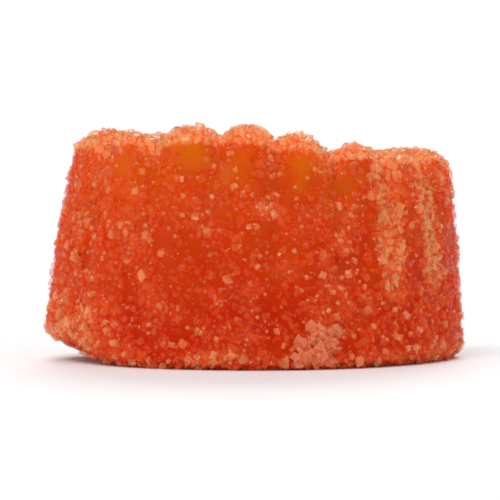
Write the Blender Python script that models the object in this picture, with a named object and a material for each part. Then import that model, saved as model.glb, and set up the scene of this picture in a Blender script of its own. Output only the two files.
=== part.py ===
"""Orange slice candy: a half-moon of orange jelly, ribbed round its curved side like the rind of
a cut orange, with the coarsest crystals of its sugar coat standing proud of it.

It lies on its larger flat face at z = 0, curved side towards -Y and straight side towards +Y.
The origin is the middle of the underside of its bounding box.
"""

import math
import random

import bmesh
import bpy
from mathutils import Matrix, Vector, noise

MM = 0.001

# The half-moon, measured on its underside unless a note says otherwise
SLICE_LENGTH = 38.0 * MM
SLICE_HEIGHT = 21.3 * MM     # of the rim, in its left half
DEPTH_SHARE = 0.55           # front to back, as a share of the length
CORNER_RADIUS = 5.0 * MM     # in plan, where the curved side meets the straight one
WAIST = 0.4 * MM             # how far the straight side is drawn in at its middle
WALL_DRAFT = math.radians(6)
WALL_BELLY = 0.4 * MM
LEAN = 0.9 * MM              # how far the top stands to the right of the foot
FOOT_RADIUS = 1.6 * MM
RIM_RADIUS = 2.2 * MM
FOOT_CURL = 1.9 * MM         # how far the underside's left end lifts
CURL_FROM = 0.6              # share of the half-length at which that lift begins

# The top face, sunk in its middle as the jelly shrank
DISH_DEPTH = 1.7 * MM
DISH_STEEPNESS = 4           # power of the dish's curve: the higher, the flatter its floor
BACK_DROP = 2.1 * MM         # the straight side's rim, below the curved side's
BACK_DROP_FROM = -0.7        # where that fall begins, as a share of the arc's radius
RIGHT_DROP = 1.6 * MM        # the right half, below the left half
DROP_SPREAD = 0.35           # share of the half-length, to each side, over which it falls there

# The ribs of the rind
RIB_COUNT = 8
GROOVE_AT_FOOT = 0.2 * MM
GROOVE_AT_RIM = 1.2 * MM
GROOVE_REACH = 4.0 * MM      # how far the grooves run in over the top face
GROOVE_SHARPNESS = 2.0
GROOVE_DEEPENING = 2.4       # power by which they deepen on the way up
GROOVE_FADE = 0.8            # share of the end ribs over which they fade in

# Unevenness of a cast and tumbled sweet: how far the surface strays, and over what distance
WARP = (0.55 * MM, 13.0 * MM)
RIPPLE = (0.28 * MM, 4.5 * MM)
GRIT = (0.2 * MM, 1.4 * MM)
STRAY_FROM = (0.9 * MM, 6 * MM)    # heights between which it sets in: the underside is flat
GRIT_FROM = (-0.9, -0.4)           # and how far up the surface faces where the grit sets in
STRAY_SEED = 5

# Steps of the mesh
STEPS_PER_RIB = 9
CORNER_STEPS = 6
STRAIGHT_STEPS = 14
UNDERSIDE_RINGS = 4
FOOT_STEPS = 3
WALL_STEPS = 9
RIM_STEPS = 5
TOP_RINGS = 9

# The coarsest sugar crystals: spread all over, and stuck together in one clump low on the front
CRYSTAL_COUNT = 170
CRYSTAL_SIDES = (0.6 * MM, 1.05 * MM)
CRYSTAL_GAP = 2.1 * MM
CRYSTAL_SUNK = 0.42          # share of a crystal that is buried in the jelly
CRYSTAL_TILT = math.radians(24)
CRYSTAL_SEED = 4
CRYSTAL_TRIES = 40           # for each crystal, to find it a place far enough from the others
CLUMP_X = 4.5 * MM
CLUMP_Z = 3.3 * MM
CLUMP_RADIUS = 1.5 * MM
CLUMP_COUNT = 8
CLUMP_GAP = 0.7 * MM

# Worked out from the sizes above
ARC_RADIUS = SLICE_LENGTH / 2
STRAIGHT_Y = SLICE_LENGTH * DEPTH_SHARE - ARC_RADIUS
CORNER_Y = STRAIGHT_Y - CORNER_RADIUS
CORNER_X = math.sqrt((ARC_RADIUS - CORNER_RADIUS) ** 2 - CORNER_Y ** 2)
CORNER_TURN = math.atan2(CORNER_Y, CORNER_X)    # where the arc ends, seen from its centre
TOP_INSET = SLICE_HEIGHT * math.tan(WALL_DRAFT) + RIM_RADIUS
MIDDLE_Y = (STRAIGHT_Y - ARC_RADIUS) / 2
DISH_REACH = Vector((ARC_RADIUS, ARC_RADIUS + MIDDLE_Y)) - Vector((TOP_INSET, TOP_INSET))


def eased(low, high, value):
    """Climbs from 0 to 1 as value goes from low to high."""
    share = min(1.0, max(0.0, (value - low) / (high - low)))
    return share * share * (3 - 2 * share)


def plan():
    """The half-moon's outline, counter-clockwise from the right-hand corner, as the centre that
    each point is turned about, its direction, its radius there and its share of a groove."""
    quarter = math.pi / 2 - CORNER_TURN
    for step in range(CORNER_STEPS):
        yield Vector((CORNER_X, CORNER_Y)), CORNER_TURN + quarter * step / CORNER_STEPS, CORNER_RADIUS, 0
    for step in range(STRAIGHT_STEPS):
        across = CORNER_X * (1 - 2 * step / STRAIGHT_STEPS)
        drawn_in = WAIST * math.cos(across / CORNER_X * math.pi / 2) ** 2
        yield Vector((across, CORNER_Y)), math.pi / 2, CORNER_RADIUS - drawn_in, 0
    for step in range(CORNER_STEPS):
        yield Vector((-CORNER_X, CORNER_Y)), math.pi / 2 + quarter * step / CORNER_STEPS, CORNER_RADIUS, 0
    arc_steps = RIB_COUNT * STEPS_PER_RIB
    for step in range(arc_steps):
        along = step / arc_steps
        turn = math.pi - CORNER_TURN + (math.pi + 2 * CORNER_TURN) * along
        off_crest = abs(2 * (along * RIB_COUNT % 1) - 1)
        to_end = min(along, 1 - along) * RIB_COUNT
        yield Vector((0, 0)), turn, ARC_RADIUS, off_crest ** GROOVE_SHARPNESS * eased(0, GROOVE_FADE, to_end)


def rim_height(x, y):
    """Height of the top face: dished, and falling to the back and to the right."""
    reach = Vector((x / DISH_REACH.x, (y - MIDDLE_Y) / DISH_REACH.y)).length
    dish = DISH_DEPTH * max(0, 1 - reach ** DISH_STEEPNESS)
    back = BACK_DROP * eased(BACK_DROP_FROM * ARC_RADIUS, STRAIGHT_Y, y)
    right = RIGHT_DROP * eased(-DROP_SPREAD, DROP_SPREAD, x / ARC_RADIUS)
    return SLICE_HEIGHT - dish - back - right


def wall_inset(height):
    belly = WALL_BELLY * math.sin(height / SLICE_HEIGHT * math.pi)
    return height * math.tan(WALL_DRAFT) - belly


def section():
    """Steps up the outside: inset from the plan, height, how far the surface leans from facing
    outwards (0) to facing up (a quarter turn), and depth of the grooves."""
    for step in range(FOOT_STEPS):
        lean = math.pi / 2 * (step / FOOT_STEPS - 1)
        inset = FOOT_RADIUS * (1 - math.cos(lean))
        yield inset, FOOT_RADIUS * (1 + math.sin(lean)), 0, GROOVE_AT_FOOT * (1 + math.sin(lean))
    wall_top = SLICE_HEIGHT - RIM_RADIUS
    for step in range(WALL_STEPS):
        share = step / WALL_STEPS
        height = FOOT_RADIUS + (wall_top - FOOT_RADIUS) * share
        groove = GROOVE_AT_FOOT + (GROOVE_AT_RIM - GROOVE_AT_FOOT) * share ** GROOVE_DEEPENING
        yield wall_inset(height), height, 0, groove
    for step in range(RIM_STEPS + 1):
        lean = math.pi / 2 * step / RIM_STEPS
        inset = wall_inset(wall_top) + RIM_RADIUS * (1 - math.cos(lean))
        yield inset, wall_top + RIM_RADIUS * math.sin(lean), lean, GROOVE_AT_RIM


def outside_ring(inset, height, lean, groove):
    ring = []
    share_of_drop = height / SLICE_HEIGHT
    for centre, turn, radius, cut in plan():
        reach = max(radius - inset, 0) - groove * cut * math.cos(lean)
        x, y = centre + reach * Vector((math.cos(turn), math.sin(turn)))
        drop = (SLICE_HEIGHT - rim_height(x, y)) * share_of_drop
        ring.append(Vector((x, y, height - drop - groove * cut * math.sin(lean))))
    return ring


def top_rings(rim):
    """From the rim to the middle of the top face, the grooves fading out on the way."""
    middle = Vector((0, MIDDLE_Y, 0))
    cuts = [cut for _, _, _, cut in plan()]
    for step in range(1, TOP_RINGS):
        ring = []
        for edge, cut in zip(rim, cuts):
            place = edge.lerp(middle, step / TOP_RINGS)
            from_rim = (place.xy - edge.xy).length
            groove = GROOVE_AT_RIM * cut * (1 - eased(0, GROOVE_REACH, from_rim))
            ring.append(Vector((place.x, place.y, rim_height(place.x, place.y) - groove)))
        yield ring


def strayed(point):
    """The point where the lean, the warp and the ripples of the cast jelly leave it."""
    free = eased(*STRAY_FROM, point.z)
    for far, wavelength in (WARP, RIPPLE):
        point = point + noise.noise_vector(point / wavelength) * far * free
    up = point.z / SLICE_HEIGHT
    curl = FOOT_CURL * eased(CURL_FROM * ARC_RADIUS, ARC_RADIUS, -point.x) * (1 - up)
    return point + Vector((LEAN * up, 0, curl))


def make_jelly():
    rings = [outside_ring(*step) for step in section()]
    foot = rings[0]
    centre = Vector((0, MIDDLE_Y, 0))
    underside = [[point.lerp(centre, 1 - step / (UNDERSIDE_RINGS + 1)) for point in foot]
                 for step in range(1, UNDERSIDE_RINGS + 1)]
    rings = underside + rings + list(top_rings(rings[-1]))
    crown = Vector((0, MIDDLE_Y, rim_height(0, MIDDLE_Y)))
    mesh = bmesh.new()
    loops = [[mesh.verts.new(strayed(point)) for point in ring] for ring in rings]
    for lower, upper in zip(loops, loops[1:]):
        for index, corner in enumerate(lower):
            after = (index + 1) % len(lower)
            mesh.faces.new((corner, lower[after], upper[after], upper[index]))
    for tip, loop in ((centre, loops[0][::-1]), (crown, loops[-1])):
        point = mesh.verts.new(strayed(tip))
        for corner, after in zip(loop, loop[1:] + loop[:1]):
            mesh.faces.new((corner, after, point))
    roughen(mesh)
    bmesh.ops.triangulate(mesh, faces=mesh.faces[:])
    return mesh


def roughen(mesh):
    """Lifts the surface in small bumps, like sugar just under it, but not on the underside."""
    far, wavelength = GRIT
    mesh.normal_update()
    lifts = []
    for vert in mesh.verts:
        free = eased(*GRIT_FROM, vert.normal.z)
        lifts.append(vert.normal * noise.noise(vert.co / wavelength) * far * free)
    for vert, lift in zip(mesh.verts, lifts):
        vert.co += lift


def spread(faces, count, gap, draws):
    """Points and normals spread over the faces, no two closer than the gap."""
    weights = [face.calc_area() for face in faces]
    places = []
    for face in draws.choices(faces, weights, k=CRYSTAL_TRIES * count):
        spot = face.calc_center_median()
        if all((spot - taken).length > gap for taken, _ in places):
            places.append((spot, face.normal.copy()))
    return places[:count]


def crystal_places(jelly, draws):
    """All over but the underside, and in the clump."""
    clump_y = -math.sqrt(ARC_RADIUS ** 2 - CLUMP_X ** 2)
    clump = Vector((CLUMP_X, clump_y, CLUMP_Z))
    upper = [face for face in jelly.faces if face.calc_center_median().z > FOOT_RADIUS]
    away = [(face.calc_center_median() - clump).length for face in upper]
    clumped = [face for face, distance in zip(upper, away) if distance < CLUMP_RADIUS]
    free = [face for face, distance in zip(upper, away) if distance > CLUMP_RADIUS + CRYSTAL_GAP / 2]
    return spread(free, CRYSTAL_COUNT, CRYSTAL_GAP, draws) + spread(clumped, CLUMP_COUNT, CLUMP_GAP, draws)


def make_crystal(spot, normal, draws):
    """A tilted block, part buried, like a grain of sugar pressed into jelly."""
    sides = Vector([draws.uniform(*CRYSTAL_SIDES) for _ in range(3)])
    spin = Matrix.Rotation(draws.uniform(0, math.tau), 4, "Z")
    tilt = Matrix.Rotation(draws.uniform(0, CRYSTAL_TILT), 4, "X")
    facing = normal.to_track_quat("Z", "Y").to_matrix().to_4x4()
    raised = Matrix.Translation(spot + normal * sides.z * (0.5 - CRYSTAL_SUNK))
    block = Matrix.Diagonal(sides).to_4x4()
    mesh = bmesh.new()
    bmesh.ops.create_cube(mesh, size=1.0, matrix=raised @ facing @ spin @ tilt @ block)
    return mesh


def make_material():
    material = bpy.data.materials.new("sugared_jelly")
    material.use_nodes = True
    shader = material.node_tree.nodes["Principled BSDF"]
    shader.inputs["Base Color"].default_value = (0.72, 0.09, 0.012, 1)
    shader.inputs["Roughness"].default_value = 0.55
    shader.inputs["Metallic"].default_value = 0.0
    return material


def new_object(name, mesh, material, collection):
    data = bpy.data.meshes.new(name)
    mesh.to_mesh(data)
    mesh.free()
    data.materials.append(material)
    made = bpy.data.objects.new(name, data)
    collection.objects.link(made)
    return made


def fuse(body, grains):
    """Joins everything in the collection to the body, in one solid, and removes it."""
    union = body.modifiers.new("sugar", "BOOLEAN")
    union.operation = "UNION"
    union.operand_type = "COLLECTION"
    union.collection = grains
    joined = bpy.data.meshes.new_from_object(body.evaluated_get(bpy.context.evaluated_depsgraph_get()))
    body.modifiers.clear()
    body.data = joined
    for grain in list(grains.objects):
        bpy.data.objects.remove(grain)
    bpy.data.collections.remove(grains)


def centre_on_origin(body):
    """Puts the middle of the underside of the bounding box at the origin."""
    corners = [Vector(corner) for corner in body.bound_box]
    middle = sum(corners, Vector()) / len(corners)
    body.data.transform(Matrix.Translation((-middle.x, -middle.y, -corners[0].z)))


def main():
    for old in list(bpy.data.objects):
        bpy.data.objects.remove(old)
    noise.seed_set(STRAY_SEED)
    draws = random.Random(CRYSTAL_SEED)
    table = bpy.context.scene.collection
    grains = bpy.data.collections.new("grains")
    table.children.link(grains)
    material = make_material()
    jelly = make_jelly()
    for spot, normal in crystal_places(jelly, draws):
        new_object("crystal", make_crystal(spot, normal, draws), material, grains)
    orange_slice = new_object("orange_slice", jelly, material, table)
    fuse(orange_slice, grains)
    centre_on_origin(orange_slice)
    orange_slice.data.shade_smooth()
    orange_slice.data.set_sharp_from_angle(angle=math.radians(40))


main()
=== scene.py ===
import math

import bmesh
import bpy
import numpy as np
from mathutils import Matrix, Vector, noise


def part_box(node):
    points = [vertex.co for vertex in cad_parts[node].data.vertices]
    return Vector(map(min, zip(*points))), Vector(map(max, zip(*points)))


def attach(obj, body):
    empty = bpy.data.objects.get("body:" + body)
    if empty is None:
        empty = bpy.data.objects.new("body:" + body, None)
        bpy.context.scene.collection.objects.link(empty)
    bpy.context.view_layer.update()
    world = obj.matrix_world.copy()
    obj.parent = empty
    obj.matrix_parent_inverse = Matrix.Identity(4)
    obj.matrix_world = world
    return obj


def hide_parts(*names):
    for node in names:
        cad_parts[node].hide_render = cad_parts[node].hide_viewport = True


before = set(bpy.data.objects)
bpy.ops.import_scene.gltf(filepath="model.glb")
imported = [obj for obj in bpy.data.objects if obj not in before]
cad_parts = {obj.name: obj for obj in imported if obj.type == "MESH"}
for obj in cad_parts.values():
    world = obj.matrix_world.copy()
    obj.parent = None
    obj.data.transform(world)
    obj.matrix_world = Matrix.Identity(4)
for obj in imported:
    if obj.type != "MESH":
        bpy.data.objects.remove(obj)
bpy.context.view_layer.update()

# A sugared orange slice jelly, lying on its larger flat face with the ribs to the front.

mm = 0.001
sliceLow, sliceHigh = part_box("orange_slice")


def eased(low, high, value):  # climbs from 0 to 1 as value goes from low to high
    share = np.clip((np.asarray(value, float) - low) / (high - low), 0, 1)
    return share * share * (3 - 2 * share)


def noiseAt(points, wavelength, shift):  # smooth noise, about -1 to 1
    return np.array([noise.noise(Vector(p) / wavelength + Vector((shift, 0, 0))) for p in points])


# The jelly, cast in a half-moon mould. The first sizes are those of the solid that it replaces.

jellyForm = {
    "length": 38.0 * mm,
    "height": 21.3 * mm,        # of the rim, in its left half
    "depthShare": 0.55,         # front to back, as a share of the length
    "cornerRadius": 5.0 * mm,
    "waist": 0.4 * mm,          # how far the straight side is drawn in
    "draft": math.radians(6),   # how far the walls lean inwards
    "belly": 0.4 * mm,          # and how far they bulge
    "lean": 0.9 * mm,           # how far the top stands to the right of the foot
    "footRadius": 1.6 * mm,
    "rimRadius": 2.2 * mm,
    "footCurl": 1.9 * mm,       # lift of the underside's left end
    "curlFrom": 0.6,            # where it begins, as a share of the half-length
    "dish": 1.7 * mm,           # how far the middle of the top has sunk
    "dishSteepness": 4,
    "backDrop": 2.1 * mm,       # the straight side, below the ribbed one
    "backDropFrom": -0.7,       # where the fall begins, as a share of the radius
    "rightDrop": 1.6 * mm,      # the right half, below the left half
    "dropSpread": 0.35,         # share of the half-length, to each side, over which it falls
    "ribs": 8,
    "grooveAtFoot": 0.2 * mm,   # the grooves' depth
    "grooveAtRim": 1.2 * mm,
    "grooveReach": 4.0 * mm,    # how far they run over the top
    "grooveSharpness": 2.0,     # more makes them narrower
    "grooveDeepening": 2.4,     # more keeps them shallow for longer on the way up
    "grooveFade": 0.8,          # share of the end ribs over which they fade in
    "warp": ((0.55 * mm, 13.0 * mm), (0.28 * mm, 4.5 * mm)),        # how far, over what distance
    "warpFrom": (0.9 * mm, 6 * mm),     # heights between which it sets in
    "warpSeed": 5,
    "pimples": ((0.055 * mm, 1.5 * mm), (0.03 * mm, 0.62 * mm)),    # how high, over what distance
    "pimplesFrom": (-0.9, -0.5),        # how far up the surface faces where they set in
    "pimpleShift": 3.1,
    "voxel": 0.21 * mm,
    "smoothing": 6,
    "sugarRoom": 0.22 * mm,     # left free inside the node's box for the sugar to stand out in
    "roomBelow": 0.11 * mm,     # and under it
}

arcRadius = jellyForm["length"] / 2
straightY = jellyForm["length"] * jellyForm["depthShare"] - arcRadius
cornerY = straightY - jellyForm["cornerRadius"]
cornerX = math.sqrt((arcRadius - jellyForm["cornerRadius"]) ** 2 - cornerY ** 2)
cornerTurn = math.atan2(cornerY, cornerX)
middleY = (straightY - arcRadius) / 2
topInset = jellyForm["height"] * math.tan(jellyForm["draft"]) + jellyForm["rimRadius"]


def grooveShare(turn):  # 0 on a rib's crest, 1 in a groove, for a direction from the arc's centre
    along = (turn - math.pi + cornerTurn) / (math.pi + 2 * cornerTurn)
    offCrest = np.abs(2 * np.mod(along * jellyForm["ribs"], 1) - 1)
    toEnd = np.minimum(along, 1 - along) * jellyForm["ribs"]
    return offCrest ** jellyForm["grooveSharpness"] * eased(0, jellyForm["grooveFade"], toEnd)


def planPoints(stepsPerRib=22, cornerSteps=14, straightSteps=48):
    size = jellyForm["cornerRadius"]
    corner = np.arange(cornerSteps) / cornerSteps * (math.pi / 2 - cornerTurn)
    across = 1 - 2 * np.arange(straightSteps) / straightSteps
    along = np.arange(jellyForm["ribs"] * stepsPerRib) / (jellyForm["ribs"] * stepsPerRib)
    arc = math.pi - cornerTurn + (math.pi + 2 * cornerTurn) * along
    drawnIn = jellyForm["waist"] * np.cos(across * math.pi / 2) ** 2
    turn = np.concatenate([cornerTurn + corner, across * 0 + math.pi / 2, math.pi / 2 + corner, arc])
    centreX = np.concatenate([corner * 0 + cornerX, across * cornerX, corner * 0 - cornerX, arc * 0])
    centreY = np.where(np.arange(len(turn)) < len(turn) - len(arc), cornerY, 0)
    radius = np.concatenate([corner * 0 + size, size - drawnIn, corner * 0 + size, arc * 0 + arcRadius])
    cut = np.concatenate([corner * 0, across * 0, corner * 0, grooveShare(arc)])
    return centreX, centreY, turn, radius, cut


def rimHeight(x, y):
    reach = np.hypot(x / (arcRadius - topInset), (y - middleY) / (arcRadius + middleY - topInset))
    dish = jellyForm["dish"] * np.maximum(0, 1 - reach ** jellyForm["dishSteepness"])
    back = jellyForm["backDrop"] * eased(jellyForm["backDropFrom"] * arcRadius, straightY, y)
    side = jellyForm["dropSpread"]
    right = jellyForm["rightDrop"] * eased(-side, side, x / arcRadius)
    return jellyForm["height"] - dish - back - right


def wallInset(height):
    belly = jellyForm["belly"] * math.sin(height / jellyForm["height"] * math.pi)
    return height * math.tan(jellyForm["draft"]) - belly


def sectionSteps(footSteps=8, wallSteps=46, rimSteps=14):  # inset, height, lean, groove's depth
    foot, rim = jellyForm["footRadius"], jellyForm["rimRadius"]
    shallow, deep = jellyForm["grooveAtFoot"], jellyForm["grooveAtRim"]
    wallTop = jellyForm["height"] - rim
    steps = []
    for lean in math.pi / 2 * (np.arange(footSteps) / footSteps - 1):
        up = 1 + math.sin(lean)
        steps.append((foot * (1 - math.cos(lean)), foot * up, 0, shallow * up))
    for share in np.arange(wallSteps) / wallSteps:
        height = foot + (wallTop - foot) * share
        groove = shallow + (deep - shallow) * share ** jellyForm["grooveDeepening"]
        steps.append((wallInset(height), height, 0, groove))
    for lean in math.pi / 2 * np.arange(rimSteps + 1) / rimSteps:
        inset = wallInset(wallTop) + rim * (1 - math.cos(lean))
        steps.append((inset, wallTop + rim * math.sin(lean), lean, deep))
    return steps


def jellyRings(topRings=34, undersideRings=12):
    centreX, centreY, turn, radius, cut = planPoints()
    rings = []
    for inset, height, lean, groove in sectionSteps():
        reach = np.maximum(radius - inset, 0) - groove * cut * math.cos(lean)
        x, y = centreX + reach * np.cos(turn), centreY + reach * np.sin(turn)
        drop = (jellyForm["height"] - rimHeight(x, y)) * height / jellyForm["height"]
        rings.append(np.stack([x, y, height - drop - groove * cut * math.sin(lean)], 1))
    foot, rim = rings[0], rings[-1]
    middle = np.array([0, middleY, 0])
    for step in range(1, topRings):
        place = rim + (middle - rim) * step / topRings
        fromRim = np.hypot(*(place - rim)[:, :2].T)
        groove = jellyForm["grooveAtRim"] * cut * (1 - eased(0, jellyForm["grooveReach"], fromRim))
        place[:, 2] = rimHeight(place[:, 0], place[:, 1]) - groove
        rings.append(place)
    shares = np.arange(1, undersideRings + 1) / (undersideRings + 1)
    underside = [middle + (foot - middle) * share for share in shares]
    crown = np.array([0, middleY, float(rimHeight(0, middleY))])
    return middle, underside + rings, crown


def strayed(points):  # the lean and the slow unevenness of a cast and tumbled sweet
    noise.seed_set(jellyForm["warpSeed"])
    curlFrom = jellyForm["curlFrom"] * arcRadius
    moved = []
    for place in points:
        point = Vector(place)
        free = float(eased(*jellyForm["warpFrom"], point.z))
        for far, wavelength in jellyForm["warp"]:
            point = point + noise.noise_vector(point / wavelength) * far * free
        up = point.z / jellyForm["height"]
        curl = jellyForm["footCurl"] * float(eased(curlFrom, arcRadius, -point.x)) * (1 - up)
        moved.append((point.x + jellyForm["lean"] * up, point.y, point.z + curl))
    return np.array(moved)


def castJelly():
    middle, rings, crown = jellyRings()
    around = len(rings[0])
    points = strayed(np.concatenate([middle[None], *rings, crown[None]]))
    step = np.arange(around)
    after = (step + 1) % around
    quads = [np.stack([step, after, after + around, step + around], 1) + 1 + ring * around
             for ring in range(len(rings) - 1)]
    last = 1 + (len(rings) - 1) * around
    under = np.stack([after + 1, step + 1, step * 0], 1)
    over = np.stack([step + last, after + last, step * 0 + len(points) - 1], 1)
    faces = np.concatenate(quads).tolist() + under.tolist() + over.tolist()
    mesh = bpy.data.meshes.new("castJelly")
    mesh.from_pydata(points.tolist(), [], faces)
    mould = bpy.data.objects.new("castJelly", mesh)
    bpy.context.scene.collection.objects.link(mould)
    even = mould.modifiers.new("even", "REMESH")
    even.mode = "VOXEL"
    even.voxel_size = jellyForm["voxel"]
    even.use_smooth_shade = True
    soft = mould.modifiers.new("soft", "SMOOTH")
    soft.iterations = jellyForm["smoothing"]
    made = bpy.data.meshes.new_from_object(mould.evaluated_get(bpy.context.evaluated_depsgraph_get()))
    bpy.data.objects.remove(mould)
    return made


def readVectors(items, name):
    values = np.empty(len(items) * 3, np.float32)
    items.foreach_get(name, values)
    return values.reshape(-1, 3).astype(float)


def readPoints(mesh):
    return readVectors(mesh.vertices, "co")


def readNormals(mesh):
    return readVectors(mesh.vertex_normals, "vector")


def setPoints(mesh, points):
    mesh.vertices.foreach_set("co", points.astype(np.float32).ravel())
    mesh.update()


def addLayer(mesh, name, values):  # a value for each point, for the finishes to read
    layer = mesh.attributes.new(name, "FLOAT", "POINT")
    layer.data.foreach_set("value", values.astype(np.float32))


def makeJelly():
    mesh = castJelly()
    points = readPoints(mesh)
    low, high = points.min(0), points.max(0)
    room = jellyForm["sugarRoom"]
    wantLow = np.array(sliceLow) + (room, room, jellyForm["roomBelow"])
    wantHigh = np.array(sliceHigh) - room
    points = wantLow + (points - low) * (wantHigh - wantLow) / (high - low)
    setPoints(mesh, points)
    normals = readNormals(mesh)
    free = eased(*jellyForm["pimplesFrom"], normals[:, 2])
    for shift, (far, wavelength) in enumerate(jellyForm["pimples"], start=1):
        lift = far * free * noiseAt(points, wavelength, jellyForm["pimpleShift"] * shift)
        points += normals * lift[:, None]
    setPoints(mesh, points)
    jelly = bpy.data.objects.new("jelly", mesh)
    bpy.context.scene.collection.objects.link(jelly)
    return jelly


jelly = makeJelly()
jellyPoints, jellyNormals = readPoints(jelly.data), readNormals(jelly.data)
print("jelly:", len(jelly.data.polygons), "faces")


# How thickly the sugar lies, from 0 where the jelly is bare to 1. Places are given across by x,
# or by its share of the half-length, and upwards by the share of the height there.

everywhere = (-9, -8)           # a range that all places are past

sugarCover = {
    "wall": 0.3,
    "straightSide": 0.4,
    "top": 0.9,
    "rim": 1.0,
    "underside": 0.3,
    "grooves": 0.12,            # how much thicker it is in the grooves
    "rimGrooves": 0.45,         # where they meet the rim
    "rightGrooves": 0.8,        # and in those at the right end
    "rightCrests": 0.65,        # how much barer the ribs between those are
    "underRim": 0.5,            # how much barer the band below the rim is
    "thicker": (                # how much, and the ranges across and up over which it sets in
        (0.1, (-0.6, -0.95), everywhere),       # the left end
        (0.36, (-0.62, -0.9), (0.45, 0.2)),     # its low corner
        (0.25, (0.1, 0.3), (0.45, 0.2)),        # low on the right
        (0.4, (0.4, 0.62), (0.7, 0.84)),        # and high
        (0.25, everywhere, (0.12, 0.04)),       # the foot
    ),
    "rubbed": (                 # x, share of the height, radius, how bare
        (-7.5 * mm, 0.48, 3.2 * mm, 0.6),
        (1.2 * mm, 0.32, 2.2 * mm, 0.75),
        (-0.3 * mm, 0.56, 2.6 * mm, 0.55),
        (-6.8 * mm, 0.9, 2.2 * mm, 0.8),
        (3.2 * mm, 0.89, 1.8 * mm, 0.6),
        (-12.1 * mm, 0.84, 2.0 * mm, 0.65),
        (-3.1 * mm, 0.83, 2.2 * mm, 0.7),
    ),
    "patches": ((0.64, 6.0 * mm), (0.64, 2.0 * mm)),    # how strong, over what distance
    "rimPatches": 0.4,          # share of that strength which the rim keeps
    "rightPatches": 0.3,        # and which the right end keeps
    "patchShift": 11.7,
}
coverRanges = {                 # where each part of the surface begins, and where it is in full
    "arc": (-0.15, 0.2),        # by how far the surface faces the front
    "front": (0, 0.5),
    "top": (0.5, 0.8),          # by how far it faces up
    "rimFromWall": (0.26, 0.46),
    "rimFromTop": (0.99, 0.9),
    "underside": (-0.5, -0.85),
    "groove": (0, 0.5),         # by its share of the groove's depth
    "grooveUp": (0.2, 0.55),    # by the share of the height
    "rimGrooves": (0.82, 0.93),
    "underRim": (0.7, 0.8),
    "middle": (0.55, 0.35),     # by its share of the half-length, to either side
    "right": (0.35, 0.65),
    "rubbed": (1.15, 0.45),     # by the distance from a spot, as a share of the spot's radius
}


def inMould(points):  # places as the mould has them: across, back and up as a share of the height
    x, y, z = points.T
    castX = x - jellyForm["lean"] * (z / jellyForm["height"] - 0.5)
    castY = y + middleY
    return castX, castY, z / rimHeight(castX, castY)


def fromSpot(x, height, spotX, spotShare, radius):  # as a share of the spot's radius
    return np.hypot(x - spotX, (height - spotShare) * jellyForm["height"]) / radius


def facingShares(normals):  # how far each place belongs to a part, by the way that it faces
    front, up = -normals[:, 1], normals[:, 2]
    facing = {"arc": front, "front": front, "top": up, "underside": up}
    facing.update(rimFromWall=up, rimFromTop=up)
    return {name: eased(*coverRanges[name], value) for name, value in facing.items()}


def sidesCover(x, y, height, share):
    side = x / arcRadius
    turn = np.mod(np.arctan2(y, x), 2 * math.pi)
    groove = grooveShare(np.clip(turn, math.pi - cornerTurn, 2 * math.pi + cornerTurn))
    inGroove = eased(*coverRanges["groove"], groove) * eased(*coverRanges["grooveUp"], height)
    cover = sugarCover["straightSide"] * (1 - share["arc"]) + sugarCover["wall"] * share["arc"]
    cover *= 1 - sugarCover["rightCrests"] * (1 - inGroove) * share["right"]
    filled = sugarCover["grooves"] * share["arc"] + sugarCover["rightGrooves"] * share["right"]
    filled += sugarCover["rimGrooves"] * (share["arc"] * eased(*coverRanges["rimGrooves"], height))
    cover += filled * inGroove
    for more, across, up in sugarCover["thicker"]:
        cover += more * eased(*across, side) * eased(*up, height)
    belowRim = eased(*coverRanges["underRim"], height) * eased(*coverRanges["middle"], np.abs(side))
    cover *= 1 - sugarCover["underRim"] * belowRim * share["arc"]
    for spotX, spotShare, radius, bare in sugarCover["rubbed"]:
        inSpot = eased(*coverRanges["rubbed"], fromSpot(x, height, spotX, spotShare, radius))
        cover *= 1 - bare * inSpot * share["front"]
    return cover


def coverAt(points, normals):
    x, y, height = inMould(points)
    share = facingShares(normals)
    share["right"] = share["arc"] * eased(*coverRanges["right"], x / arcRadius)
    cover = sidesCover(x, y, height, share)
    cover += (sugarCover["top"] - cover) * share["top"]
    onRim = share["rimFromWall"] * share["rimFromTop"]
    cover += np.maximum(sugarCover["rim"] - cover, 0) * onRim
    calm = 1 - (1 - sugarCover["rimPatches"]) * onRim
    calm *= 1 - (1 - sugarCover["rightPatches"]) * share["right"]
    for shift, (strength, wavelength) in enumerate(sugarCover["patches"]):
        cover *= 1 + strength * calm * noiseAt(points, wavelength, sugarCover["patchShift"] + shift)
    cover += (sugarCover["underside"] - cover) * share["underside"]
    return np.clip(cover, 0, 1)


jellyCover = coverAt(jellyPoints, jellyNormals)
addLayer(jelly.data, "cover", jellyCover)
print("cover: mean", round(float(jellyCover.mean()), 3))


# The sugar: loose crystals in four ranges of size, in mm, and a few clumps of stuck ones.

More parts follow.
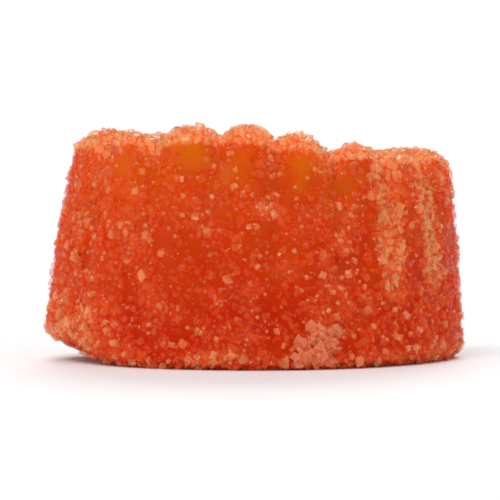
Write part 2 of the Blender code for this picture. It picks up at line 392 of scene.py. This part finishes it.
crystalKinds = {
    "sugarCoarse": {
        "tries": 500,
        "size": (0.58, 0.76),
        "chamfer": 0.07,
        "sunk": 0.36,           # share of it that is buried
        "wants": 1.0,           # how much it keeps to where the cover is thick
        "pale": 0.08,           # how pale it is where the cover is thin
        "seed": 11,
    },
    "sugarLarge": {
        "tries": 5200,
        "size": (0.42, 0.6),
        "chamfer": 0.06,
        "sunk": 0.38,
        "wants": 1.1,
        "pale": 0.14,
        "seed": 12,
    },
    "sugarMedium": {
        "tries": 13000,
        "size": (0.28, 0.42),
        "chamfer": 0.05,
        "sunk": 0.4,
        "wants": 1.2,
        "pale": 0.22,
        "seed": 13,
    },
    "sugarFine": {
        "tries": 16000,
        "size": (0.17, 0.28),
        "chamfer": 0.0,
        "sunk": 0.42,
        "wants": 1.0,
        "pale": 0.3,
        "seed": 14,
    },
}
crystalShape = {
    "stretch": (0.75, 1.3),     # of each side, so that no two blocks are alike
    "chipped": 0.085,           # how far a corner strays, as a share of the size
    "flat": 0.02,               # angle up to which two facets of a block are one
    "tilt": math.radians(38),   # the most that one leans
    "level": 0.9,               # how far up or down a surface faces to count as level
    "apart": 0.86,              # least distance between two, as a share of their mean size
    "cell": 0.9 * mm,           # of the grid that finds neighbours: more than any such distance
    "paler": (0.5, (0.3, 1)),           # how much where the cover is thick, and over what range of it
    "drierAndPaintedLitTop": (0.42, (0.26, 0.52)),    # and where the surface faces up: sugar that is drier there, and painted light from above
    "unlike": 0.28,             # how much their paleness strays
    "frosted": 0.5,             # how pale one is where it counts as frosted
}


def blockShape(chamfer):  # a unit block, its edges cut off where chamfer is more than 0
    corners = np.array([(x, y, z) for x in (-0.5, 0.5) for y in (-0.5, 0.5) for z in (-0.5, 0.5)])
    if chamfer == 0:
        faces = [(0, 1, 3, 2), (4, 6, 7, 5), (0, 4, 5, 1), (2, 3, 7, 6), (0, 2, 6, 4), (1, 5, 7, 3)]
        return corners, faces
    points = [corner - np.sign(corner) * chamfer * (np.arange(3) != axis)
              for corner in corners for axis in range(3)]
    hull = bmesh.new()
    for point in points:
        hull.verts.new(point)
    bmesh.ops.convex_hull(hull, input=hull.verts[:])
    flat = crystalShape["flat"]
    bmesh.ops.dissolve_limit(hull, angle_limit=flat, verts=hull.verts[:], edges=hull.edges[:])
    hull.verts.index_update()
    faces = [tuple(vert.index for vert in face.verts) for face in hull.faces]
    points = np.array([vert.co[:] for vert in hull.verts])
    hull.free()
    return points, faces


def triangleList(mesh):
    mesh.calc_loop_triangles()
    corners = np.empty(len(mesh.loop_triangles) * 3, np.int32)
    mesh.loop_triangles.foreach_get("vertices", corners)
    return corners.reshape(-1, 3)


jellyTriangles = triangleList(jelly.data)


def pickPlaces(count, wants, draws):  # points on the jelly, more of them where the cover is thick
    a, b, c = (jellyPoints[jellyTriangles[:, side]] for side in range(3))
    area = np.linalg.norm(np.cross(b - a, c - a), axis=1)
    weight = area * jellyCover[jellyTriangles].mean(1) ** wants
    chosen = draws.choice(len(area), count, p=weight / weight.sum())
    u, v = draws.random((2, count))
    flip = u + v > 1
    u, v = np.where(flip, 1 - u, u), np.where(flip, 1 - v, v)
    share = np.stack([1 - u - v, u, v], 1)[:, :, None]
    corners = jellyTriangles[chosen]
    place = (jellyPoints[corners] * share).sum(1)
    normal = (jellyNormals[corners] * share).sum(1)
    normal /= np.linalg.norm(normal, axis=1)[:, None]
    return place, normal, (jellyCover[corners] * share[:, :, 0]).sum(1)


takenCells = {}  # every crystal so far, by the cell that it lies in


def roomFor(place, size):
    cell = (place / crystalShape["cell"]).astype(int)
    around = [tuple(cell + (dx, dy, dz)) for dx in (-1, 0, 1) for dy in (-1, 0, 1) for dz in (-1, 0, 1)]
    for other, otherSize in (taken for near in around for taken in takenCells.get(near, ())):
        gap = crystalShape["apart"] * (size + otherSize) / 2
        if sum((place - other) ** 2) < gap * gap:
            return False
    takenCells.setdefault(tuple(cell), []).append((place, size))
    return True


def turnedTo(normals, draws):  # a frame for each crystal, its third axis near the normal
    count = len(normals)
    level = np.abs(normals[:, 2:]) >= crystalShape["level"]
    helper = np.where(level, [[1.0, 0, 0]], [[0, 0, 1.0]])
    side = np.cross(helper, normals)
    side /= np.linalg.norm(side, axis=1)[:, None]
    upright = np.stack([side, np.cross(normals, side), normals], 2)
    spin = draws.random(count) * 2 * math.pi
    tilt = (draws.random(count) - 0.5) * 2 * crystalShape["tilt"]
    zero, one = np.zeros(count), np.ones(count)
    sinSpin, cosSpin, sinTilt, cosTilt = np.sin(spin), np.cos(spin), np.sin(tilt), np.cos(tilt)
    spun = np.array([[cosSpin, -sinSpin, zero], [sinSpin, cosSpin, zero], [zero, zero, one]])
    tilted = np.array([[one, zero, zero], [zero, cosTilt, -sinTilt], [zero, sinTilt, cosTilt]])
    return upright @ spun.transpose(2, 0, 1) @ tilted.transpose(2, 0, 1)


def placedBlocks(points, places, normals, sizes, sunk, draws):  # the points of each block
    count = len(places)
    sides = sizes[:, None] * draws.uniform(*crystalShape["stretch"], (count, 3))
    chips = draws.normal(0, crystalShape["chipped"], (count, len(points), 3))
    local = (points[None] + chips) * sides[:, None]
    turned = np.einsum("nij,nkj->nki", turnedTo(normals, draws), local)
    lift = normals * (sides[:, 2:] * (0.5 - sunk))
    placed = turned + (places + lift)[:, None]
    placed[:, :, 2] = np.maximum(placed[:, :, 2], sliceLow.z)
    return placed


def joinedMesh(name, blocks, faces):  # one mesh of many blocks with the same faces
    count, each = blocks.shape[:2]
    loops = np.concatenate([np.array(face) for face in faces])
    totals = np.tile([len(face) for face in faces], count)
    allLoops = (loops[None] + np.arange(count)[:, None] * each).ravel()
    mesh = bpy.data.meshes.new(name)
    mesh.vertices.add(count * each)
    mesh.vertices.foreach_set("co", blocks.astype(np.float32).ravel())
    mesh.loops.add(len(allLoops))
    mesh.loops.foreach_set("vertex_index", allLoops.astype(np.int32))
    mesh.polygons.add(len(totals))
    mesh.polygons.foreach_set("loop_start", (np.cumsum(totals) - totals).astype(np.int32))
    mesh.update(calc_edges=True)
    mesh.validate()
    return mesh


def joinedCrystals(name, places, normals, sizes, tints, kind, draws):
    points, faces = blockShape(kind["chamfer"])
    blocks = placedBlocks(points, places, normals, sizes, kind["sunk"], draws)
    mesh = joinedMesh(name, blocks, faces)
    addLayer(mesh, "tint", np.repeat(tints, len(points)))
    frosted = np.repeat(tints >= crystalShape["frosted"], len(faces))
    mesh.polygons.foreach_set("material_index", frosted.astype(np.int32))
    sugar = bpy.data.objects.new(name, mesh)
    bpy.context.scene.collection.objects.link(sugar)
    triangles = len(places) * sum(len(face) - 2 for face in faces)
    print(name + ":", len(places), "crystals,", triangles, "triangles")
    return sugar


clumpForm = {
    "size": (0.3, 0.6),
    "chamfer": 0.06,
    "sunk": 0.3,
    "apart": 0.65,              # how close they come, as a share of what loose ones keep
    "seed": 21,
    "spots": (                  # x, height, front (-1) or back (1), radius, rise and tries
        (4.9 * mm, 2.4 * mm, -1, 1.5 * mm, 0.7 * mm, 260),
        (3.1 * mm, 1.4 * mm, -1, 0.9 * mm, 0.3 * mm, 50),
        (9.5 * mm, 12.0 * mm, 1, 1.5 * mm, 0.2 * mm, 70),
    ),
    "uneven": (0.75, 1.1 * mm),     # how much the edge of a clump strays, over what distance
    "unevenShift": 23.1,
    "reach": 1.5,               # how far out the edge is looked for, as a share of the radius
}


def heapClumps(name):  # crystals stuck together in low mounds
    draws = np.random.default_rng(clumpForm["seed"])
    places, normals, sizes = [], [], []
    for x, z, facing, radius, rise, tries in clumpForm["spots"]:
        side = np.sign(jellyNormals[:, 1]) == facing
        away = np.hypot(jellyPoints[:, 0] - x, jellyPoints[:, 2] - z) / radius
        near = np.flatnonzero(side & (away < clumpForm["reach"]))
        strays, wavelength = clumpForm["uneven"]
        away[near] *= 1 + strays * noiseAt(jellyPoints[near], wavelength, clumpForm["unevenShift"])
        for index in draws.choice(near[away[near] < 1], tries):
            size = draws.uniform(*clumpForm["size"]) * mm
            lift = rise * (1 - away[index] ** 2) * draws.random()
            place = jellyPoints[index] + jellyNormals[index] * lift
            if roomFor(place, size * clumpForm["apart"]):
                places.append(place)
                normals.append(jellyNormals[index])
                sizes.append(size)
    tints = draws.uniform(0, 1, len(places))
    places, normals, sizes = np.array(places), np.array(normals), np.array(sizes)
    return joinedCrystals(name, places, normals, sizes, tints, clumpForm, draws)


def scatterSugar(name, kind):
    draws = np.random.default_rng(kind["seed"])
    places, normals, cover = pickPlaces(kind["tries"], kind["wants"], draws)
    sizes = draws.uniform(*kind["size"], len(places)) * mm
    kept = np.array([roomFor(place, size) for place, size in zip(places, sizes)])
    places, normals, cover, sizes = places[kept], normals[kept], cover[kept], sizes[kept]
    pale = kind["pale"] + draws.normal(0, crystalShape["unlike"], len(places))
    # up-facing crystals are paler: partly drier sugar, partly painted light from above
    for key, value in (("paler", cover), ("drierAndPaintedLitTop", normals[:, 2])):
        more, past = crystalShape[key]
        pale += more * eased(*past, value)
    tints = np.clip(pale, 0, 1)
    return joinedCrystals(name, places, normals, sizes, tints, kind, draws)


sugars = [heapClumps("sugarClumps")]
sugars += [scatterSugar(name, kind) for name, kind in crystalKinds.items()]


# The finishes.

def newMaterial(name):
    material = bpy.data.materials.new(name)
    material.use_nodes = True
    tree = material.node_tree
    return material, tree, tree.nodes["Principled BSDF"]


def spread(tree, source, fromRange, toRange=(0, 1)):  # maps one range of values to another
    node = tree.nodes.new("ShaderNodeMapRange")
    for name, value in zip(("From Min", "From Max", "To Min", "To Max"), (*fromRange, *toRange)):
        node.inputs[name].default_value = value
    tree.links.new(source, node.inputs["Value"])
    return node.outputs["Result"]


def combine(tree, operation, first, second):
    node = tree.nodes.new("ShaderNodeMath")
    node.operation = operation
    node.use_clamp = True
    for socket, value in zip(node.inputs, (first, second)):
        tree.links.new(value, socket)
    return node.outputs[0]


def blendColours(tree, share, first, second):
    node = tree.nodes.new("ShaderNodeMix")
    node.data_type = "RGBA"
    tree.links.new(share, node.inputs["Factor"])
    for name, value in (("A", first), ("B", second)):
        if isinstance(value, tuple):
            node.inputs[name].default_value = value
        else:
            tree.links.new(value, node.inputs[name])
    return node.outputs["Result"]


def cloudNoise(tree, where, scale, detail):
    node = tree.nodes.new("ShaderNodeTexNoise")
    node.inputs["Scale"].default_value = scale
    node.inputs["Detail"].default_value = detail
    tree.links.new(where, node.inputs["Vector"])
    return node.outputs["Fac"]


def pointValue(tree, name):
    node = tree.nodes.new("ShaderNodeAttribute")
    node.attribute_name = name
    return node.outputs["Fac"]


jellyLook = {
    # painted light and shade: the deep colour is painted shade low down, the next one is painted light
    # where the thin top lets light through
    "deep": (0.55, 0.020, 0.0006, 1),
    "paintedLitTop": (0.66, 0.085, 0.002, 1),
    # painted glow: a yellower orange for light shining through the thin jelly below the rim
    "paintedGlowColour": (0.66, 0.14, 0.002, 1),
    "heights": (5 * mm, 20 * mm),       # between which the painted shade low down turns to the painted light of the thin top
    "clouds": (160, 3, (0.25, 0.75), (-0.3, 0.3)),  # scale, detail, range, and what it adds to that
    "paintedGlowSpots": (                # spots of painted glow below the rim, where light shines through the thin jelly: x, share of the height, radius, strength
        (-6.9 * mm, 0.92, 3.2 * mm, 1.0),
        (3.2 * mm, 0.92, 2.6 * mm, 0.9),
        (-12.1 * mm, 0.86, 2.8 * mm, 0.6),
        (-3.1 * mm, 0.84, 2.8 * mm, 0.5),
        (7.4 * mm, 0.84, 2.2 * mm, 0.5),
    ),
    "paintedGlowEdge": (0.8, 1.6 * mm, 31.3),    # how much it strays, over what distance, and shift
    "paintedGlowFacing": (0, 0.3),
    "veil": (0.95, 0.27, 0.08, 1),      # sugar too fine to see, where the coat is thick
    "veilShare": (0.0, 0.7),            # of a bare place and of a thickly coated one
    "veilCover": (0.3, 0.95),           # what counts as bare, and as thickly coated
    "grains": (3200, 2, (0.42, 0.66), (0.25, 1)),   # scale, detail, range, and the veil it leaves
    "bump": (0.35, 0.12 * mm),          # strength and height
    "glow": (1.0, 0.24, 0.05),          # how far each colour travels inside
    "glowScale": 3.0 * mm,
    "roughness": (0.28, 0.5),           # of a bare place and of a thickly coated one
    "gloss": 0.1,
    "ior": 1.43,
}


def paintedGlowAt(points, normals):  # 1 in the middle of a spot of painted glow, 0 away from them all
    x, y, height = inMould(points)
    strays, wavelength, shift = jellyLook["paintedGlowEdge"]
    uneven = 1 + strays * noiseAt(points, wavelength, shift)
    share = np.zeros(len(points))
    for *spot, strength in jellyLook["paintedGlowSpots"]:
        share = np.maximum(share, strength * eased(1, 0, fromSpot(x, height, *spot) * uneven))
    return share * eased(*jellyLook["paintedGlowFacing"], -normals[:, 1])


addLayer(jelly.data, "paintedGlow", paintedGlowAt(jellyPoints, jellyNormals))


def jellyMaterial():
    material, tree, shader = newMaterial("orangeJelly")
    where = tree.nodes.new("ShaderNodeTexCoord").outputs["Object"]
    split = tree.nodes.new("ShaderNodeSeparateXYZ")
    tree.links.new(where, split.inputs[0])
    cover = pointValue(tree, "cover")
    # painted light and shade: darker towards the foot, brighter towards the rim
    up = spread(tree, split.outputs["Z"], jellyLook["heights"])
    scale, detail, fromRange, toRange = jellyLook["clouds"]
    clouds = spread(tree, cloudNoise(tree, where, scale, detail), fromRange, toRange)
    body = blendColours(tree, combine(tree, "ADD", up, clouds), jellyLook["deep"], jellyLook["paintedLitTop"])
    # painted glow below the rim, where light shines through the thin jelly
    body = blendColours(tree, pointValue(tree, "paintedGlow"), body, jellyLook["paintedGlowColour"])
    scale, detail, fromRange, toRange = jellyLook["grains"]
    grains = cloudNoise(tree, where, scale, detail)
    veiled = spread(tree, cover, jellyLook["veilCover"], jellyLook["veilShare"])
    veiled = combine(tree, "MULTIPLY", spread(tree, grains, fromRange, toRange), veiled)
    tree.links.new(blendColours(tree, veiled, body, jellyLook["veil"]), shader.inputs["Base Color"])
    tree.links.new(spread(tree, cover, (0, 1), jellyLook["roughness"]), shader.inputs["Roughness"])
    bump = tree.nodes.new("ShaderNodeBump")
    bump.inputs["Strength"].default_value, bump.inputs["Distance"].default_value = jellyLook["bump"]
    tree.links.new(grains, bump.inputs["Height"])
    tree.links.new(bump.outputs["Normal"], shader.inputs["Normal"])
    shader.inputs["Subsurface Weight"].default_value = 1.0
    shader.inputs["Subsurface Radius"].default_value = jellyLook["glow"]
    shader.inputs["Subsurface Scale"].default_value = jellyLook["glowScale"]
    shader.inputs["IOR"].default_value = jellyLook["ior"]
    shader.inputs["Specular IOR Level"].default_value = jellyLook["gloss"]
    return material


sugarIor = 1.5
sugarLooks = {
    "meltedSugar": {            # half dissolved in the jelly, and as clear
        "dull": (1.0, 0.08, 0.001, 1),      # the colours of the least and the most pale crystals
        "pale": (1.0, 0.28, 0.03, 1),
        "solid": 0.3,           # what each side of a crystal hides of the jelly behind it
        "gloss": 0.65,
        "roughness": 0.05,
    },
    "frostedSugar": {
        "dull": (1.0, 0.10, 0.002, 1),
        "pale": (1.0, 0.44, 0.15, 1),
        "solid": 0.46,
        "gloss": 0.8,
        "roughness": 0.06,
    },
    "stuckSugar": {
        "dull": (0.85, 0.17, 0.05, 1),
        "pale": (0.95, 0.31, 0.14, 1),
        "solid": 0.6,
        "gloss": 0.5,
        "roughness": 0.25,
    },
}


def sugarMaterial(name, look):
    material, tree, shader = newMaterial(name)
    tint = pointValue(tree, "tint")
    tree.links.new(blendColours(tree, tint, look["dull"], look["pale"]), shader.inputs["Base Color"])
    shader.inputs["Roughness"].default_value = look["roughness"]
    shader.inputs["Alpha"].default_value = look["solid"]
    shader.inputs["Specular IOR Level"].default_value = look["gloss"]
    shader.inputs["IOR"].default_value = sugarIor
    return material


jelly.data.materials.append(jellyMaterial())
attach(jelly, "root")
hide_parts("orange_slice")
sugarFinishes = {name: sugarMaterial(name, look) for name, look in sugarLooks.items()}
for sugar in sugars:
    clumped = sugar.name == "sugarClumps"
    dullAndPale = ("stuckSugar", "stuckSugar") if clumped else ("meltedSugar", "frostedSugar")
    for name in dullAndPale:
        sugar.data.materials.append(sugarFinishes[name])
    sugar.visible_shadow = False  # clear sugar lets the light through to the jelly
    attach(sugar, "root")
print("finishes done")


# The stage: a white table in soft light.

stage = {
    "floorColour": (0.93, 0.93, 0.93, 1),
    "floorRadius": 6.0,
    "floorRoughness": 0.6,
    "floorGloss": 0.2,
    "tent": 0.475,              # brightness of the white all round, as it lights the sweet
    "backdrop": 1.0,            # and as the camera sees it
    "lamps": (                  # azimuth, elevation and width in degrees, and strength
        (-35, 55, 30, 1.07),
        (40, 30, 8, 0.3),
        (-70, 20, 8, 0.25),
        (5, 70, 10, 0.3),
        (170, 40, 30, 0.9),
    ),
    "azimuth": -4,              # of the camera
    "elevation": 3.5,
    "fieldOfView": 3.5,
    "fill": 0.84,               # share of the picture's width that the candy takes
    "aim": (-0.8 * mm, 10.2 * mm),      # the picture's middle, across and up
    "clip": (0.01, 50),                 # the nearest and the farthest that it sees, in metres
}


def direction(azimuth, elevation):  # towards a lamp or the camera; 0 is the ribbed side
    turn, rise = math.radians(azimuth), math.radians(elevation)
    return Vector((math.sin(turn) * math.cos(rise), -math.cos(turn) * math.cos(rise), math.sin(rise)))


def makeFloor():
    bpy.ops.mesh.primitive_circle_add(vertices=96, radius=stage["floorRadius"], fill_type="NGON")
    floor = bpy.context.object
    floor.name = "floor"
    material, tree, shader = newMaterial("whiteTable")
    shader.inputs["Base Color"].default_value = stage["floorColour"]
    shader.inputs["Roughness"].default_value = stage["floorRoughness"]
    shader.inputs["Specular IOR Level"].default_value = stage["floorGloss"]
    floor.data.materials.append(material)


def makeLight():
    world = bpy.data.worlds.new("tent")
    world.use_nodes = True
    nodes, links = world.node_tree.nodes, world.node_tree.links
    strength = nodes.new("ShaderNodeMapRange")
    strength.inputs["To Min"].default_value = stage["tent"]
    strength.inputs["To Max"].default_value = stage["backdrop"]
    links.new(nodes.new("ShaderNodeLightPath").outputs["Is Camera Ray"], strength.inputs["Value"])
    links.new(strength.outputs["Result"], nodes["Background"].inputs["Strength"])
    nodes["Background"].inputs["Color"].default_value = (1, 1, 1, 1)
    bpy.context.scene.world = world
    for index, (azimuth, elevation, width, power) in enumerate(stage["lamps"]):
        data = bpy.data.lights.new("lamp" + str(index), "SUN")
        data.angle = math.radians(width)
        data.energy = power
        lamp = bpy.data.objects.new("lamp" + str(index), data)
        lamp.rotation_euler = (-direction(azimuth, elevation)).to_track_quat("-Z", "Y").to_euler()
        bpy.context.scene.collection.objects.link(lamp)


def makeCamera():
    data = bpy.data.cameras.new("camera")
    camera = bpy.data.objects.new("camera", data)
    bpy.context.scene.collection.objects.link(camera)
    data.angle = math.radians(stage["fieldOfView"])
    back = direction(stage["azimuth"], stage["elevation"])
    width = (sliceHigh.x - sliceLow.x) / stage["fill"]
    distance = width / 2 / math.tan(data.angle / 2)
    across, up = stage["aim"]
    camera.location = Vector((across, 0, up)) + back * distance
    camera.rotation_mode = "QUATERNION"
    camera.rotation_quaternion = (-back).to_track_quat("-Z", "Y")
    data.clip_start, data.clip_end = stage["clip"]
    bpy.context.scene.camera = camera


makeFloor()
makeLight()
makeCamera()
bpy.context.scene.view_settings.view_transform = "Standard"
print("stage done")
